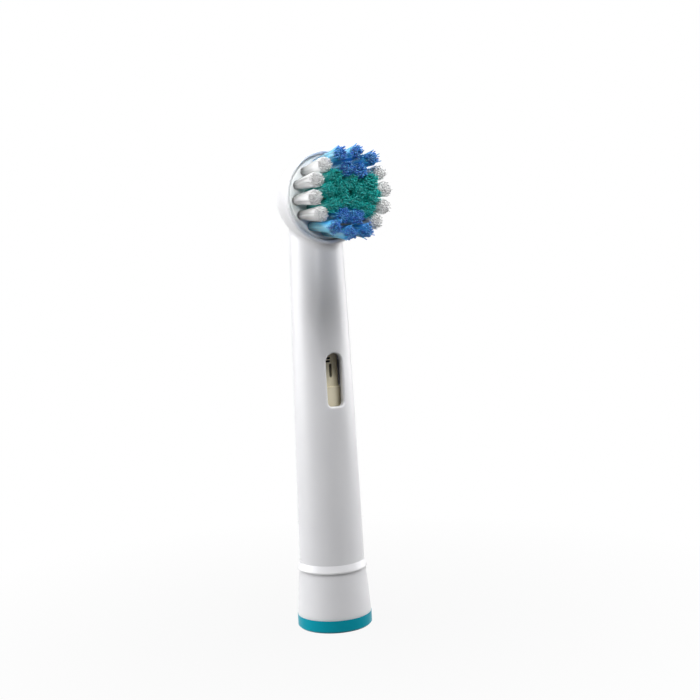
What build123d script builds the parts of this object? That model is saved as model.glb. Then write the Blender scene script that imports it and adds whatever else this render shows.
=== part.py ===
"""Oscillating round brush head for an electric toothbrush. Millimetres, +Z up the tube, bristles face -Y."""

import math
import os

from build123d import *

os.makedirs("parts", exist_ok=True)

# Tube, radii at heights above the base
lip_z = 11.7
lip_h = 1.4
lip_land_h = 0.25
lip_r = 6.15
tube_foot_r = 5.78
tube_low_r, tube_low_z = 5.33, 38.5
tube_mid_r, tube_mid_z = 5.08, 52.0
tube_top_r = 4.48

# Cup at the top of the tube, its axis along Y
head_z = 75.4
rim_r = 8.1
rim_y = -6.2
rim_wall = 0.75
dome_r = 7.5
cup_back_y = 4.85
cup_floor_gap = 0.3
pocket_r = 3.7
junction_r = 1.2
rim_edge = 0.25

# Window in the front of the tube, round at its head and nearly square at its foot
window_w = 3.0
window_h = 9.3
window_z = 44.0
window_foot_r = 0.8
window_edge_r = 0.25

# Base sleeve and ring
sleeve_top_r = 5.98
sleeve_foot_r = 6.55
ring_r = 6.6
ring_h = 2.2
ring_wall = 0.8
ring_edge = 0.3
socket_r = 4.3
socket_h = 12.5
key_w = 1.4
key_d = 0.45
key_h = 10.0
spigot_r = 4.7
spigot_top_z = 16.0
web_hole_r = 2.6
seat_gap = 0.02

# Disc, fork and axle
disc_gap = 0.2
disc_recess = 0.5
disc_t = 2.8
disc_edge = 0.25
disc_rest_turn = 8.0
axle_r = 0.75
axle_head_r = 1.0
axle_head_t = 0.45
axle_end_y = 4.4
running_gap = 0.04
head_gap = 0.06
hub_r = 1.5
fork_depth = 2.9
fork_w = 3.1
fork_back_y = 2.45
fork_t = 1.7
fork_gap = 0.15

# Crank
crank_offset = 1.7
crank_reach = 2.35
crank_r = 0.5
crank_seat = 7.0
crank_tip_edge = 0.45

# Drive shaft
shaft_foot_z = 16.6
shaft_top_z = 66.4
coupler_r = 3.5
coupler_top_z = 31.0
collar_r = 4.3
collar_z = 19.0
collar_h = 3.5
shank_r = 3.0
shank_top_z = 42.6
shaft_r = 2.65
shaft_edge = 0.3
bearing_foot_z = 57.0
bearing_gap = 0.05
bore_high_r = 4.0
drive_bore_r = 1.95
drive_guide_h = 8.0
drive_end_r = 1.7
drive_end_h = 4.0
drive_flat = 1.2
slot_w = 0.6
slot_h = 2.45
slot_x, slot_z = -0.15, 45.5
slot_d = 0.9
notch_w = 1.4
notch_h = 0.36
notch_x, notch_low_z = -0.8, 47.1
notch_pitch = 0.55
notch_d = 1.0

# Tufts: hole and anchor, then for each ring its count, its root and tip circles, its length and tip radius.
# The outer ring's tufts at the sides, between two angles from the top, are shorter and broader.
# The inner ring is trimmed a little lower than the middle one.
hole_r = 0.78
hole_h = 2.1
tuft_gap = 0.02
anchor_t = 0.28
anchor_h = 1.5
outer_count = 14
middle_count = 10
inner_count = 5
outer_root_r, outer_tip_r, outer_length, outer_end_r = 5.9, 6.7, 10.8, 1.2
side_tip_r, side_length, side_end_r = 6.5, 9.4, 1.35
side_from, side_to = 45.0, 135.0
middle_root_r, middle_tip_r, middle_length, middle_end_r = 3.75, 4.0, 10.2, 1.15
inner_root_r, inner_tip_r, inner_drop, inner_end_r = 2.05, 1.95, 0.2, 1.0
end_edge = 0.25
tuft_sides = 12

# Sizes that follow from the ones above
cup_r = rim_r - rim_wall
root_fill_r = hole_r - tuft_gap
inner_length = middle_length - inner_drop
disc_r = cup_r - disc_gap
disc_front_y = rim_y + disc_recess
disc_back_y = disc_front_y + disc_t
cup_floor_y = disc_back_y + cup_floor_gap
pocket_back_y = fork_back_y + cup_floor_gap
bearing_r = shaft_r + bearing_gap
bore_low_r = collar_r + bearing_gap
wall_mid_r = (bore_low_r + tube_mid_r) / 2
fork_foot_z = head_z - fork_depth
lip_foot_z = lip_z - lip_h
dome_y = cup_back_y - dome_r
dome_turn = math.atan2(rim_r, rim_y - dome_y) - math.acos(dome_r / math.hypot(rim_r, rim_y - dome_y))
crank_tip_z = head_z - crank_reach + crank_r
crank_foot_z = shaft_top_z - crank_seat
crank_lean = math.tan(math.radians(disc_rest_turn)) * crank_reach / crank_offset
shaft_rest_turn = math.degrees(math.asin(crank_lean))

# The disc and shaft are drawn on planes turned to where they rest in the photograph
rest_angle = math.radians(disc_rest_turn)
disc_plane = Plane(
    origin=(0, disc_front_y, head_z),
    x_dir=(math.cos(rest_angle), 0, -math.sin(rest_angle)),
    z_dir=(0, -1, 0),
)
shaft_plane = Plane.XY.rotated((0, 0, shaft_rest_turn))
cup_axis = Axis((0, 0, head_z), (0, 1, 0))


# Tube and cup, one moulding
with BuildPart() as neck_housing:
    with BuildSketch(Plane.XZ):
        with BuildLine():
            Polyline(
                (0, lip_foot_z),
                (lip_r, lip_foot_z),
                (lip_r, lip_foot_z + lip_land_h),
                (tube_foot_r, lip_z),
                (tube_low_r, tube_low_z),
                (tube_mid_r, tube_mid_z),
                (tube_top_r, head_z),
                (0, head_z),
                close=True,
            )
        make_face()
    revolve(axis=Axis.Z)

    # Window, its outer edge rounded over
    with BuildSketch(Plane.XZ):
        with Locations((0, window_z)):
            SlotOverall(window_h, window_w, rotation=90)
        with Locations((0, window_z - window_h / 4)):
            Rectangle(window_w, window_h / 2)
        fillet(vertices().group_by(Axis.Y)[0], radius=window_foot_r)
    extrude(amount=2 * tube_low_r, mode=Mode.SUBTRACT)
    window_edges = edges(Select.NEW).filter_by(Axis.Y, reverse=True)
    outer_edges = window_edges.filter_by(lambda rim: math.hypot(rim.center().X, rim.center().Y) > wall_mid_r)
    fillet(outer_edges, radius=window_edge_r)

    # Cup: a cone from the rim that runs into a round back, turned about the disc axis
    with BuildSketch(Plane.YZ):
        with BuildLine():
            back = CenterArc((dome_y, head_z), dome_r, 0, math.degrees(dome_turn))
            Polyline(back @ 1, (rim_y, head_z + rim_r), (rim_y, head_z), back @ 0)
        make_face()
    revolve(axis=cup_axis)
    joint_edges = edges(Select.NEW)
    fillet(joint_edges, radius=junction_r)

    # Bore for the sleeve, shaft and bearing
    with BuildSketch(Plane.XZ):
        with BuildLine():
            Polyline(
                (0, lip_foot_z),
                (spigot_r + seat_gap, lip_foot_z),
                (spigot_r + seat_gap, spigot_top_z + seat_gap),
                (bore_low_r, spigot_top_z + seat_gap),
                (bore_low_r, collar_z + 2 * collar_h),
                (bore_high_r, bearing_foot_z),
                (bearing_r, bearing_foot_z + bore_high_r - bearing_r),
                (bearing_r, fork_foot_z),
                (0, fork_foot_z),
                (0, lip_foot_z),
            )
        make_face()
    revolve(axis=Axis.Z, mode=Mode.SUBTRACT)

    # Cup hollow, fork pocket and axle seat
    with BuildSketch(disc_plane.offset(disc_recess)):
        Circle(cup_r)
    extrude(amount=rim_y - cup_floor_y, mode=Mode.SUBTRACT)
    with BuildSketch(disc_plane):
        Circle(pocket_r)
    extrude(amount=disc_front_y - pocket_back_y, mode=Mode.SUBTRACT)
    with BuildSketch(disc_plane):
        Circle(axle_r)
    extrude(amount=disc_front_y - axle_end_y, mode=Mode.SUBTRACT)
    rim_edges = edges().filter_by(GeomType.CIRCLE).group_by(Axis.Y)[0]
    chamfer(rim_edges, length=rim_edge)
neck_housing.part.label = "neck_housing"
export_step(neck_housing.part, "parts/neck_housing.step")


# Socket that goes over the handle's nose
with BuildPart() as base_sleeve:
    with BuildSketch(Plane.XZ):
        with BuildLine():
            Polyline(
                (sleeve_top_r, lip_foot_z),
                (spigot_r, lip_foot_z),
                (spigot_r, spigot_top_z),
                (web_hole_r, spigot_top_z),
                (web_hole_r, socket_h),
                (socket_r, socket_h),
                (socket_r, 0),
                (ring_r - ring_wall, 0),
                (ring_r - ring_wall, ring_h),
                (sleeve_foot_r, ring_h),
                close=True,
            )
        make_face()
    revolve(axis=Axis.Z)

    # Two keyways for the ribs of the nose
    with BuildSketch(Plane.XY):
        with Locations((socket_r, 0), (-socket_r, 0)):
            Rectangle(2 * key_d, key_w)
    extrude(amount=key_h, mode=Mode.SUBTRACT)
base_sleeve.part.label = "base_sleeve"
export_step(base_sleeve.part, "parts/base_sleeve.step")


# Coloured ring pressed on the foot of the sleeve
with BuildPart() as colour_ring:
    with BuildSketch(Plane.XY):
        Circle(ring_r)
        Circle(ring_r - ring_wall, mode=Mode.SUBTRACT)
    extrude(amount=ring_h)
    foot_edge = edges().group_by(Axis.Z)[0].sort_by(SortBy.RADIUS)[-1]
    chamfer(foot_edge, length=ring_edge)
colour_ring.part.label = "colour_ring"
export_step(colour_ring.part, "parts/colour_ring.step")


# Shaft that rocks in the tube, with the handle's socket at its foot
with BuildPart() as drive_shaft:
    with BuildSketch(shaft_plane.offset(shaft_foot_z)):
        Circle(coupler_r)
    extrude(amount=coupler_top_z - shaft_foot_z)
    with BuildSketch(shaft_plane.offset(collar_z)):
        Circle(collar_r)
    extrude(amount=collar_h)
    with BuildSketch(shaft_plane.offset(coupler_top_z)):
        Circle(shank_r)
    extrude(amount=shank_top_z - coupler_top_z)
    with BuildSketch(shaft_plane.offset(shank_top_z)):
        Circle(shaft_r)
    extrude(amount=shaft_top_z - shank_top_z)
    top_edge = edges().group_by(Axis.Z)[-1]
    chamfer(top_edge, length=shaft_edge)

    # Blind socket: a round guide, then a narrower D-shaped end for the flat of the handle's shaft
    with BuildSketch(shaft_plane.offset(shaft_foot_z)):
        Circle(drive_bore_r)
    extrude(amount=drive_guide_h, mode=Mode.SUBTRACT)
    with BuildSketch(shaft_plane.offset(shaft_foot_z + drive_guide_h)):
        Circle(drive_end_r)
        with Locations((0, drive_flat + drive_end_r)):
            Rectangle(2 * drive_end_r, 2 * drive_end_r, mode=Mode.SUBTRACT)
    extrude(amount=drive_end_h, mode=Mode.SUBTRACT)

    # Slot and two notches in the front, seen through the window
    front_plane = Plane(origin=(0, 0, 0), x_dir=shaft_plane.x_dir, z_dir=-shaft_plane.y_dir)
    with BuildSketch(front_plane.offset(shaft_r - slot_d)):
        with Locations((slot_x, slot_z)):
            SlotOverall(slot_h, slot_w, rotation=90)
    extrude(amount=2 * slot_d, mode=Mode.SUBTRACT)
    with BuildSketch(front_plane.offset(shaft_r - notch_d)):
        with Locations((notch_x, notch_low_z), (notch_x, notch_low_z + notch_pitch)):
            Rectangle(notch_w, notch_h)
    extrude(amount=2 * notch_d, mode=Mode.SUBTRACT)

    # Hole for the crank pin
    with BuildSketch(shaft_plane.offset(crank_foot_z)):
        with Locations((0, crank_offset)):
            Circle(crank_r)
    extrude(amount=crank_seat, mode=Mode.SUBTRACT)
drive_shaft.part.label = "drive_shaft"
export_step(drive_shaft.part, "parts/drive_shaft.step")


# Steel pin off the shaft's axis, its round tip in the fork
with BuildPart() as crank_pin:
    with BuildSketch(shaft_plane.offset(crank_foot_z)):
        with Locations((0, crank_offset)):
            Circle(crank_r)
    extrude(amount=crank_tip_z - crank_foot_z)
    tip_edge = edges().group_by(Axis.Z)[-1]
    fillet(tip_edge, radius=crank_tip_edge)
crank_pin.part.label = "crank_pin"
export_step(crank_pin.part, "parts/crank_pin.step")


# Headed steel axle of the disc
with BuildPart() as disc_axle:
    with BuildSketch(disc_plane):
        Circle(axle_head_r)
    extrude(amount=-axle_head_t)
    with BuildSketch(disc_plane):
        Circle(axle_r)
    extrude(amount=disc_front_y - axle_end_y)
disc_axle.part.label = "disc_axle"
export_step(disc_axle.part, "parts/disc_axle.step")


def tuft_plane(turn, root_r, tip_r, length):
    """Plane at a tuft's root, square to it, with its X axis round the ring. Turn 0 is the top of the disc."""
    angle = math.radians(turn)
    out = Vector(math.sin(angle), math.cos(angle), 0)
    root = disc_plane.from_local_coords(out * root_r)
    tip = disc_plane.from_local_coords(out * tip_r + Vector(0, 0, length))
    along = disc_plane.from_local_coords(Vector(math.cos(angle), -math.sin(angle), 0)) - disc_plane.origin
    return Plane(origin=root, x_dir=along, z_dir=tip - root)


tufts = {}
for index in range(outer_count):
    turn = 360 * index / outer_count
    tip_r, length, end_r = outer_tip_r, outer_length, outer_end_r
    if side_from < min(turn, 360 - turn) < side_to:
        tip_r, length, end_r = side_tip_r, side_length, side_end_r
    tufts[f"tuft_outer_{index + 1:02d}"] = (tuft_plane(turn, outer_root_r, tip_r, length), length, end_r)
for index in range(middle_count):
    turn = 360 * (index + 1 / 2) / middle_count
    plane = tuft_plane(turn, middle_root_r, middle_tip_r, middle_length)
    tufts[f"tuft_middle_{index + 1:02d}"] = (plane, middle_length, middle_end_r)
for index in range(inner_count):
    turn = 360 * index / inner_count
    plane = tuft_plane(turn, inner_root_r, inner_tip_r, inner_length)
    tufts[f"tuft_inner_{index + 1:02d}"] = (plane, inner_length, inner_end_r)
hole_floors = [plane.offset(-hole_h) for plane, _, _ in tufts.values()]


# Round carrier of the tufts, with its hub and fork
with BuildPart() as bristle_disc:
    with BuildSketch(disc_plane):
        Circle(disc_r)
    extrude(amount=-disc_t)
    front_edge = edges().group_by(Axis.Y)[0]
    chamfer(front_edge, length=disc_edge)
    with BuildSketch(disc_plane.offset(-disc_t)):
        Circle(hub_r)
    extrude(amount=disc_back_y - fork_back_y)
    with BuildSketch(disc_plane.offset(disc_front_y - fork_back_y)):
        with Locations((0, -fork_depth / 2)):
            Rectangle(fork_w, fork_depth)
        with Locations((0, -fork_depth)):
            Rectangle(2 * (crank_r + fork_gap), 2 * (fork_depth - hub_r), mode=Mode.SUBTRACT)
    extrude(amount=fork_t)
    with BuildSketch(disc_plane):
        Circle(axle_r + running_gap)
    extrude(amount=disc_front_y - fork_back_y, mode=Mode.SUBTRACT)
    with BuildSketch(disc_plane):
        Circle(axle_head_r + head_gap)
    extrude(amount=-axle_head_t - head_gap, mode=Mode.SUBTRACT)
    with BuildSketch(*hole_floors):
        Circle(hole_r)
    extrude(amount=2 * hole_h, mode=Mode.SUBTRACT)
bristle_disc.part.label = "bristle_disc"
export_step(bristle_disc.part, "parts/bristle_disc.step")


# Metal plates that hold the folded tufts in their holes
with BuildPart() as tuft_anchors:
    with BuildSketch(*hole_floors):
        Rectangle(2 * hole_r - tuft_gap, anchor_t)
    extrude(amount=anchor_h)
tuft_anchors.part.label = "tuft_anchors"
export_step(tuft_anchors.part, "parts/tuft_anchors.step")


# Tufts, each folded over its anchor and spreading to its tip
for name, (plane, length, end_r) in tufts.items():
    spread = math.degrees(math.atan((end_r - root_fill_r) * math.cos(math.pi / tuft_sides) / length))
    with BuildPart() as tuft:
        with BuildSketch(plane):
            RegularPolygon(root_fill_r, tuft_sides)
        extrude(amount=length, taper=-spread)
        tip_edges = edges().group_by(Axis(plane.origin, plane.z_dir))[-1]
        chamfer(tip_edges, length=end_edge)
        with BuildSketch(plane):
            RegularPolygon(root_fill_r, tuft_sides)
        extrude(amount=-hole_h)
        with BuildSketch(plane.offset(-hole_h)):
            Rectangle(2 * hole_r, anchor_t + tuft_gap)
        extrude(amount=anchor_h + tuft_gap, mode=Mode.SUBTRACT)
    tuft.part.label = name
    export_step(tuft.part, f"parts/{name}.step")
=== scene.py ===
"""Round oscillating brush head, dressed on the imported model. Metres, +Z up the tube, bristles face -Y."""

import math
import random

import bmesh
import bpy
from mathutils import Matrix, Vector


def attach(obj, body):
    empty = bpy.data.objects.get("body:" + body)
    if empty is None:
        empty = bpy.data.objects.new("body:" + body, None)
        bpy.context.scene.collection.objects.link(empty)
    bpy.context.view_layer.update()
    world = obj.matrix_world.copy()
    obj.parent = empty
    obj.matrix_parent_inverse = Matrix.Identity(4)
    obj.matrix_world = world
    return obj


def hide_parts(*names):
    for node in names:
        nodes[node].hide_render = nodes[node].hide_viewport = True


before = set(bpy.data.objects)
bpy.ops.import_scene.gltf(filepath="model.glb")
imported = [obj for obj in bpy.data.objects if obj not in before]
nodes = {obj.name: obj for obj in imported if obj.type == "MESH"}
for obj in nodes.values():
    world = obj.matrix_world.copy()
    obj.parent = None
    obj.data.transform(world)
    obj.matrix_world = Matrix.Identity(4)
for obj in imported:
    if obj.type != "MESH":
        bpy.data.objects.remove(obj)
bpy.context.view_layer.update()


# Colour ring
# A thin band of teal ABS, moulded on its own and pressed on the foot of the sleeve, so that each
# user knows their own head. It is glossy, with the soft ripple of a polished mould.
MM = 0.001


def linear(hex_colour):
    """An sRGB hex colour as linear red, green, blue and alpha."""
    parts = [int(hex_colour[i:i + 2], 16) / 255 for i in (1, 3, 5)]
    return [c / 12.92 if c <= 0.04045 else ((c + 0.055) / 1.055) ** 2.4 for c in parts] + [1.0]


def add(tree, kind, inputs, **settings):
    """One node of that kind: settings are its options, inputs its values or the sockets linked to it."""
    made = tree.nodes.new("ShaderNode" + kind)
    for name, value in settings.items():
        setattr(made, name, value)
    for name, value in inputs.items():
        if isinstance(value, bpy.types.NodeSocket):
            tree.links.new(value, made.inputs[name])
        else:
            made.inputs[name].default_value = value
    return made


def empty_material(name):
    """A new material with no nodes yet, and its node tree."""
    finish = bpy.data.materials.new(name)
    finish.use_nodes = True
    finish.node_tree.nodes.clear()
    return finish, finish.node_tree


def moulded_plastic(name, pale, deep, ior, gloss, ripple_mm, ripple_depth_mm, glow, glow_mm, level):
    """A moulded thermoplastic: two close tones in soft clouds, a gloss that varies, a fine ripple."""
    cloud_mm, rub_mm = 9, 0.7
    shinier, duller = 0.05, 0.07
    finish, tree = empty_material(name)
    place = add(tree, "TexCoord", {}).outputs["Object"]
    cloud = add(tree, "TexNoise", {"Vector": place, "Scale": 1 / (cloud_mm * MM), "Detail": 3.0})
    tone = add(
        tree,
        "Mix",
        {"Factor": cloud.outputs["Fac"], "A": linear(pale), "B": linear(deep)},
        data_type="RGBA",
    )
    rub = add(tree, "TexNoise", {"Vector": place, "Scale": 1 / (rub_mm * MM), "Detail": 4.0})
    sheen = add(
        tree,
        "MapRange",
        {"Value": rub.outputs["Fac"], "To Min": gloss - shinier, "To Max": gloss + duller},
    )
    ripple = add(tree, "TexNoise", {"Vector": place, "Scale": 1 / (ripple_mm * MM), "Detail": 2.0})
    skin = add(
        tree,
        "Bump",
        {"Height": ripple.outputs["Fac"], "Distance": ripple_depth_mm * MM, "Strength": 0.6},
    )
    surface = add(
        tree,
        "BsdfPrincipled",
        {
            "Base Color": tone.outputs["Result"],
            "Roughness": sheen.outputs["Result"],
            "Normal": skin.outputs["Normal"],
            "IOR": ior,
            "Specular IOR Level": level,
            "Subsurface Weight": glow,
            "Subsurface Radius": (1.0, 1.0, 1.0),
            "Subsurface Scale": glow_mm * MM,
        },
    )
    add(tree, "OutputMaterial", {"Surface": surface.outputs["BSDF"]})
    return finish


teal_abs = moulded_plastic("teal_moulded_ABS", "#069bb0", "#0594a8", 1.54, 0.3, 2.5, 0.01, 0.0, 0.3, 0.08)
nodes["colour_ring"].material_slots[0].material = teal_abs


# Base sleeve
# The socket that slides over the handle's nose, moulded in white ABS and plugged into the tube's
# foot. Its skirt flares down to the ring, and the same polished white carries on from the tube.
white_abs = moulded_plastic("white_moulded_ABS", "#e5e5e7", "#dfdfe2", 1.54, 0.3, 3.0, 0.012, 1.0, 0.8, 0.5)
nodes["base_sleeve"].material_slots[0].material = white_abs


# Neck housing
# The tapered tube and the round cup, one white ABS moulding with a window in the front of the neck.
# It shares the sleeve's polished finish.
nodes["neck_housing"].material_slots[0].material = white_abs


# Drive shaft
# A rod of natural acetal that rocks in the tube and shows through the window. Acetal is a little
# creamy and waxy, duller than the housing. Painted shade darkens its slot and, more strongly, its notches.
shaft_r = 2.65 * MM
step_z = 42.6 * MM
notch_z = 47.1 * MM
# Painted shade in the slot and notches: how far below the skin it is full, and its dark colour
shade_depth = 0.3 * MM
recess_shade_colour = linear("#211e17")
cream_acetal = moulded_plastic("natural_acetal", "#fbf3da", "#f5ecd0", 1.48, 0.42, 1.2, 0.01, 0.15, 0.4, 0.5)
nodes["drive_shaft"].material_slots[0].material = cream_acetal

# Painted shade: what lies deeper than the shaft's skin turns dark, from none at the step to full at the
# notches
tree = cream_acetal.node_tree
surface = tree.nodes["Principled BSDF"]
clean = surface.inputs["Base Color"].links[0].from_socket
place = add(tree, "SeparateXYZ", {"Vector": add(tree, "TexCoord", {}).outputs["Object"]})
level = add(tree, "CombineXYZ", {"X": place.outputs["X"], "Y": place.outputs["Y"]})
radius = add(tree, "VectorMath", {0: level.outputs["Vector"]}, operation="LENGTH")
hollow = add(
    tree,
    "MapRange",
    {"Value": radius.outputs["Value"], "From Min": shaft_r, "From Max": shaft_r - shade_depth},
)
shade_ramp = add(tree, "MapRange", {"Value": place.outputs["Z"], "From Min": step_z, "From Max": notch_z})
painted_shade = add(tree, "Math", {0: hollow.outputs["Result"], 1: shade_ramp.outputs["Result"]}, operation="MULTIPLY")
tone = add(tree, "Mix", {"Factor": painted_shade.outputs["Value"], "A": clean, "B": recess_shade_colour}, data_type="RGBA")
tree.links.new(tone.outputs["Result"], surface.inputs["Base Color"])


# Crank pin and disc axle
# Two turned pins of stainless steel: the crank pin sits off the shaft's axis and drives the disc's
# fork, the headed axle holds the disc in the cup. Turning leaves a fine grain and a bright, hard shine.
def bare_metal(name, pale, deep, grain_mm, smooth, rough):
    """A bare metal: two close tones and a roughness that follow a fine grain."""
    finish, tree = empty_material(name)
    place = add(tree, "TexCoord", {}).outputs["Object"]
    grain = add(tree, "TexNoise", {"Vector": place, "Scale": 1 / (grain_mm * MM), "Detail": 3.0})
    shine = add(tree, "MapRange", {"Value": grain.outputs["Fac"], "To Min": smooth, "To Max": rough})
    tint = add(
        tree,
        "Mix",
        {"Factor": grain.outputs["Fac"], "A": linear(pale), "B": linear(deep)},
        data_type="RGBA",
    )
    surface = add(
        tree,
        "BsdfPrincipled",
        {"Base Color": tint.outputs["Result"], "Roughness": shine.outputs["Result"], "Metallic": 1.0},
    )
    add(tree, "OutputMaterial", {"Surface": surface.outputs["BSDF"]})
    return finish


turned_steel = bare_metal("turned_stainless_steel", "#c9c8c4", "#b4b2ad", 0.12, 0.18, 0.36)
for name in ("crank_pin", "disc_axle"):
    nodes[name].material_slots[0].material = turned_steel


# Bristle disc and anchors
# The round carrier that rocks in the cup, moulded in waxy white acetal with a hole for each tuft, and the
# little stamped plates of nickel silver, warm and dull, that hold the folded tufts down in the holes.
white_acetal = moulded_plastic("white_acetal", "#f0f3f3", "#e8ecec", 1.48, 0.36, 1.0, 0.01, 0.6, 0.8, 0.5)
nodes["bristle_disc"].material_slots[0].material = white_acetal
nickel_silver = bare_metal("stamped_nickel_silver", "#cdc5b0", "#b9af98", 0.2, 0.32, 0.32)
nodes["tuft_anchors"].material_slots[0].material = nickel_silver


# Tufts
# Bundles of drawn nylon filaments, folded in two over their anchors and trimmed to a length, with
# rounded ends that spread a little. White and blue stand round the rim, blue and green fill the middle.
filament_r = 0.08 * MM
filament_count = 130
skin_count = 46
core_sides = 16
core_fill = 0.9
core_lap = 0.05
head_z = 75.4 * MM
disc_front_y = -5.7 * MM
rest_turn = math.radians(8.0)
root_fill_r = 0.76 * MM
root_sink = 0.6 * MM
splay = {"outer": 1.12, "middle": 1.32, "inner": 1.6}
reach = 7.8 * MM
dome = 0.3 * MM
trim = 0.05 * MM
swing_play = 0.25
least_splay = 0.86
stray_shares = (0.4, 0.6, 0.8, 1.1)
stray_bend = 5

# Each kind of tuft, in mm: the circles that its roots and its tips stand on, its length, its tip radius,
# how far its ends stray, and where its packed core ends as a share of the length
tuft_kinds = {
    "tall": (5.9, 6.7, 10.8, 1.2, 0.4, 0.9),
    "side": (5.9, 6.5, 9.4, 1.35, 0.1, 0.965),
    "middle": (3.75, 4.0, 10.2, 1.15, 0.4, 0.9),
    "inner": (2.05, 1.75, 10.0, 1.0, 0.4, 0.9),
}

# Each ring: where its first tuft stands, as a share of the pitch from the top, then its tufts' dyes
# in order, clockwise seen from the front
tuft_rings = {
    "outer": (0.0, "bbwwwwbbbwwwwb"),
    "middle": (0.5, "bgggbbgggb"),
    "inner": (0.0, "ggggg"),
}


def nylon(name, body, tip):
    """Drawn nylon filament: smooth and slightly clear, darker and stronger in colour at its cut end."""
    fade_from, draw_mm, glow_mm = 0.88, 0.5, 0.6
    finish, tree = empty_material(name)
    along = add(tree, "Attribute", {}, attribute_name="along").outputs["Fac"]
    strand = add(tree, "Attribute", {}, attribute_name="strand").outputs["Fac"]
    fade = add(tree, "MapRange", {"Value": along, "From Min": fade_from, "From Max": 1.0})
    depth = add(tree, "MapRange", {"Value": strand, "To Min": 0.3, "To Max": 1.3}, clamp=False)
    dyed = add(tree, "Math", {0: fade.outputs["Result"], 1: depth.outputs["Result"]}, operation="MULTIPLY")
    dye = add(
        tree,
        "Mix",
        {"Factor": dyed.outputs["Value"], "A": linear(body), "B": linear(tip)},
        data_type="RGBA",
    )
    lift = add(tree, "MapRange", {"Value": strand, "To Min": 0.85, "To Max": 1.12})
    tone = add(tree, "HueSaturation", {"Color": dye.outputs["Result"], "Value": lift.outputs["Result"]})
    place = add(tree, "TexCoord", {}).outputs["Object"]
    draw = add(tree, "TexNoise", {"Vector": place, "Scale": 1 / (draw_mm * MM), "Detail": 2.0})
    gloss = add(tree, "MapRange", {"Value": draw.outputs["Fac"], "To Min": 0.3, "To Max": 0.5})
    surface = add(
        tree,
        "BsdfPrincipled",
        {
            "Base Color": tone.outputs["Color"],
            "Roughness": gloss.outputs["Result"],
            "IOR": 1.53,
            "Subsurface Weight": 1.0,
            "Subsurface Radius": (1.0, 1.0, 1.0),
            "Subsurface Scale": glow_mm * MM,
        },
    )
    add(tree, "OutputMaterial", {"Surface": surface.outputs["BSDF"]})
    return finish


dyes = {
    "w": ("white_nylon", nylon("white_nylon_filament", "#fcfefe", "#fcfefe")),
    "b": ("blue_nylon", nylon("blue_nylon_filament", "#58b4f4", "#2458b4")),
    "g": ("green_nylon", nylon("green_nylon_filament", "#13a8a2", "#0b938e")),
}

# One filament, a metre tall so that its height is the share of the way to the tip: a five-sided rod
# with more rings near its end, which is rounded over
bpy.ops.object.select_all(action="DESELECT")
bpy.ops.mesh.primitive_circle_add(vertices=5, radius=filament_r, fill_type="NGON")
filament = bpy.context.object
bpy.ops.object.mode_set(mode="EDIT")
bpy.ops.mesh.select_all(action="SELECT")
for rise in (0.4, 0.35, 0.15, 0.09, 0.01):
    bpy.ops.mesh.extrude_region_move(TRANSFORM_OT_translate={"value": (0, 0, rise)})
bpy.ops.transform.resize(value=(0.5, 0.5, 1))
bpy.ops.mesh.select_all(action="SELECT")
bpy.ops.mesh.normals_make_consistent(inside=False)
bpy.ops.mesh.faces_shade_smooth()
bpy.ops.object.mode_set(mode="OBJECT")

# The packed middle of a bundle, modelled the same way: a sixteen-sided rod with a domed end
bpy.ops.object.select_all(action="DESELECT")
bpy.ops.mesh.primitive_circle_add(vertices=core_sides, radius=1.0, fill_type="NGON")
core = bpy.context.object
bpy.ops.object.mode_set(mode="EDIT")
bpy.ops.mesh.select_all(action="SELECT")
for rise, shrink in ((0.93, 1.0), (0.04, 0.86), (0.03, 0.5)):
    bpy.ops.mesh.extrude_region_move(TRANSFORM_OT_translate={"value": (0, 0, rise)})
    bpy.ops.transform.resize(value=(shrink, shrink, 1))
bpy.ops.mesh.select_all(action="SELECT")
bpy.ops.mesh.normals_make_consistent(inside=False)
bpy.ops.mesh.faces_shade_smooth()
bpy.ops.object.mode_set(mode="OBJECT")

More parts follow.
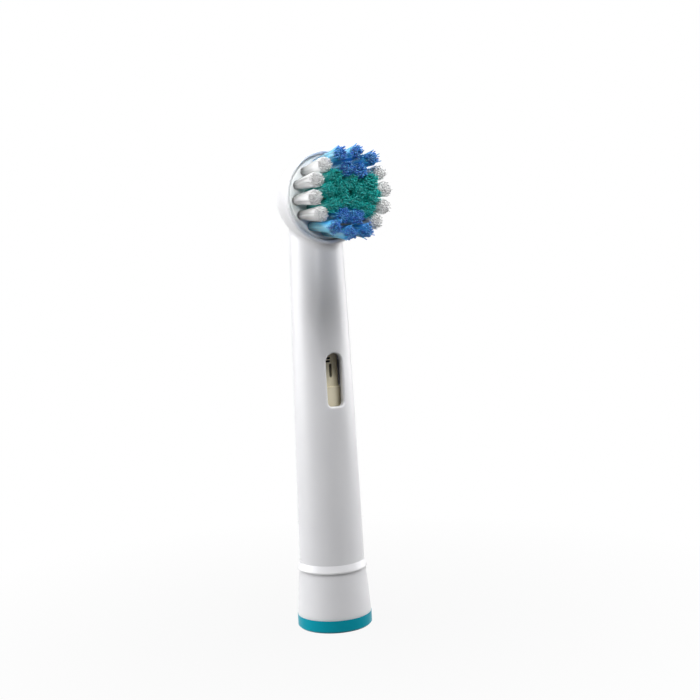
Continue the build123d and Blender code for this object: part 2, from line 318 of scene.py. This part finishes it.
# Each tuft: filaments in a spiral from root to tip, the inner ones only past the core's end, then the core
chance = random.Random(11)
golden = math.pi * (3 - math.sqrt(5))
for ring, (first_share, order) in tuft_rings.items():
    for index, dye in enumerate(order):
        kind = {"outer": "side" if dye == "w" else "tall"}.get(ring, ring)
        root_ring, tip_ring, length, tip_r, fray, core_share = tuft_kinds[kind]
        turn = 2 * math.pi * (index + first_share) / len(order) + rest_turn
        outward = Vector((math.sin(turn), 0, math.cos(turn)))
        around = Vector((math.cos(turn), 0, -math.sin(turn)))
        foot = Vector((0, disc_front_y, head_z)) + outward * root_ring * MM
        end = Vector((0, disc_front_y - length * MM, head_z)) + outward * tip_ring * MM
        axis = (end - foot).normalized()
        across = axis.cross(around)
        foot -= axis * root_sink
        bundle = bmesh.new()
        along = bundle.verts.layers.float.new("along")
        strand = bundle.verts.layers.float.new("strand")
        for k in range(filament_count):
            spot = math.sqrt((k + 0.5) / filament_count)
            swing = k * golden + chance.uniform(-swing_play, swing_play)
            aside = around * math.cos(swing) + across * math.sin(swing)
            start = foot + aside * spot * (root_fill_r - filament_r)
            spread = (tip_r * MM - 2 * filament_r) * splay[ring] * chance.uniform(least_splay, 1.0)
            stop = end + aside * spot * spread
            stop -= axis * (chance.uniform(trim, 2 * fray * MM) + dome * spot ** 2)
            away = Vector((stop.x, 0, stop.z - head_z))
            stop -= away.normalized() * max(0.0, away.length - reach)
            stray = around * chance.uniform(-1, 1) + across * chance.uniform(-1, 1)
            stray *= chance.choice(stray_shares) * fray * MM
            shade = chance.random()
            low = 0.0 if k >= filament_count - skin_count else core_share - core_lap
            first = len(bundle.verts)
            bundle.from_mesh(filament.data)
            bundle.verts.ensure_lookup_table()
            for point in bundle.verts[first:]:
                share = low + (1 - low) * point.co.z
                centre = start.lerp(stop, share) + stray * share ** stray_bend
                point[along] = share
                point[strand] = shade
                point.co = centre + around * point.co.x + across * point.co.y
        first = len(bundle.verts)
        bundle.from_mesh(core.data)
        bundle.verts.ensure_lookup_table()
        for point in bundle.verts[first:]:
            share = core_share * point.co.z
            wide = core_fill * (root_fill_r * (1 - share) + tip_r * MM * splay[ring] * share)
            point[along] = 0.0
            point[strand] = 0.5
            point.co = foot.lerp(end, share) + (around * point.co.x + across * point.co.y) * wide
        slot, finish = dyes[dye]
        mesh = bpy.data.meshes.new(f"bristles_{ring}_{index + 1:02d}")
        bundle.to_mesh(mesh)
        bundle.free()
        mesh.materials.append(finish)
        tuft = bpy.data.objects.new(mesh.name, mesh)
        bpy.context.scene.collection.objects.link(tuft)
        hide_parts(f"tuft_{ring}_{index + 1:02d}")
        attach(tuft, "brush")
bpy.data.objects.remove(filament)
bpy.data.objects.remove(core)


# Floor, light and camera
# A sheet of white paper in a light tent: broad soft panels stand at both sides, low on the left and high
# in front, and two small lamps with snoots pick out the bristles and the lip. Paper and tent show white.
def seen_directly(tree):
    """A socket that is 1 for camera, glossy and transmission rays, and 0 for light that falls on things."""
    path = add(tree, "LightPath", {})
    seen = path.outputs["Is Camera Ray"]
    for ray in ("Is Glossy Ray", "Is Transmission Ray"):
        seen = add(tree, "Math", {0: seen, 1: path.outputs[ray]}, operation="MAXIMUM").outputs["Value"]
    return seen


floor_size = 3.0
shadow_r, shadow_white = 90 * MM, 0.93
pool_near, pool_far = 30 * MM, 130 * MM
plain_white = (1, 1, 1, 1)
bpy.ops.object.select_all(action="DESELECT")
bpy.ops.mesh.primitive_plane_add(size=floor_size)
floor = bpy.context.object
floor.name = "floor"
paper, tree = empty_material("white_paper")
seen = seen_directly(tree)
spread = add(tree, "VectorMath", {0: add(tree, "TexCoord", {}).outputs["Object"]}, operation="LENGTH")
fade = add(tree, "MapRange", {"Value": spread.outputs["Value"], "From Max": shadow_r, "To Min": shadow_white})
part_seen = add(tree, "Math", {0: seen, 1: fade.outputs["Result"]}, operation="MULTIPLY")
pool = add(tree, "MapRange", {"Value": spread.outputs["Value"], "From Min": pool_near, "From Max": pool_far})
sheet = add(
    tree,
    "Mix",
    {"Factor": pool.outputs["Result"], "A": linear("#5a5a5a"), "B": linear("#525252")},
    data_type="RGBA",
)
matte = add(tree, "BsdfDiffuse", {"Color": sheet.outputs["Result"]})
white = add(tree, "Emission", {"Color": plain_white, "Strength": 1.0})
both = add(
    tree,
    "MixShader",
    {"Fac": part_seen.outputs["Value"], 1: matte.outputs["BSDF"], 2: white.outputs["Emission"]},
)
add(tree, "OutputMaterial", {"Surface": both.outputs["Shader"]})
floor.data.materials.append(paper)

surround = bpy.data.worlds.new("light_tent")
bpy.context.scene.world = surround
surround.use_nodes = True
tree = surround.node_tree
tree.nodes.clear()
dim = add(tree, "Background", {"Color": plain_white, "Strength": 0.27})
white = add(tree, "Background", {"Color": plain_white, "Strength": 1.0})
both = add(
    tree,
    "MixShader",
    {"Fac": seen_directly(tree), 1: dim.outputs["Background"], 2: white.outputs["Background"]},
)
add(tree, "OutputWorld", {"Surface": both.outputs["Shader"]})

# Camera: the picture's width and the focal length in pixels, its distance and height, then in degrees
# how far it stands round to the left, and its pan, pitch and roll
frame_px = 700
focal_px = 1200.0
stand = 210.8 * MM
height = 63.8 * MM
theta, pan, pitch, roll = (math.radians(a) for a in (-25.14, 1.37, 4.09, -2.84))
eye = Vector((stand * math.sin(theta), -stand * math.cos(theta), height))
ahead = Vector((-math.sin(theta), math.cos(theta), 0))
right = Vector((math.cos(theta), math.sin(theta), 0))
upward = Vector((0, 0, 1))
ahead, right = (
    ahead * math.cos(pan) + right * math.sin(pan),
    right * math.cos(pan) - ahead * math.sin(pan),
)
ahead, upward = (
    ahead * math.cos(pitch) - upward * math.sin(pitch),
    upward * math.cos(pitch) + ahead * math.sin(pitch),
)
right, upward = (
    right * math.cos(roll) + upward * math.sin(roll),
    upward * math.cos(roll) - right * math.sin(roll),
)
lens = bpy.data.cameras.new("camera")
lens.sensor_width = 36.0
lens.lens = lens.sensor_width * focal_px / frame_px
lens.clip_start = 0.01
camera = bpy.data.objects.new("camera", lens)
camera.matrix_world = Matrix.Translation(eye) @ Matrix((right, upward, -ahead)).transposed().to_4x4()
bpy.context.scene.collection.objects.link(camera)
bpy.context.scene.camera = camera

# Light panels: a name, where each stands in mm, its width and height in mm and its watts
aim = Vector((0, 0, 45)) * MM
for name, place, width, tall, watts in (
    ("left_panel", (-310, 230, 120), 360, 420, 1.65),
    ("low_panel", (-370, 60, 60), 300, 260, 0.62),
    ("right_panel", (385, 0, 120), 360, 420, 1.65),
    ("top_panel", (0, -150, 300), 160, 100, 0.62),
):
    panel = bpy.data.lights.new(name, "AREA")
    panel.shape = "RECTANGLE"
    panel.size = width * MM
    panel.size_y = tall * MM
    panel.energy = watts
    lamp = bpy.data.objects.new(name, panel)
    lamp.location = Vector(place) * MM
    lamp.rotation_euler = (aim - lamp.location).to_track_quat("-Z", "Y").to_euler()
    bpy.context.scene.collection.objects.link(lamp)

# Small lamps with snoots: a name, where each stands and what it is aimed at in mm, its cone in degrees
# and its watts. One beside the camera picks out the bristles, one overhead the lip at the tube's foot.
for name, place, target, cone, watts in (
    ("bristle_snoot", (-110, -230, 130), (0, -14, 80.5), 3.4, 6.0),
    ("lip_snoot", (-60, -60, 330), (-2, -5, 12), 3.6, 5.0),
):
    snoot = bpy.data.lights.new(name, "SPOT")
    snoot.energy = watts
    snoot.spot_size = math.radians(cone)
    snoot.spot_blend = 0.3
    snoot.shadow_soft_size = 20 * MM
    lamp = bpy.data.objects.new(name, snoot)
    lamp.location = Vector(place) * MM
    lamp.rotation_euler = (Vector(target) * MM - lamp.location).to_track_quat("-Z", "Y").to_euler()
    bpy.context.scene.collection.objects.link(lamp)

bpy.context.scene.view_settings.view_transform = "Standard"
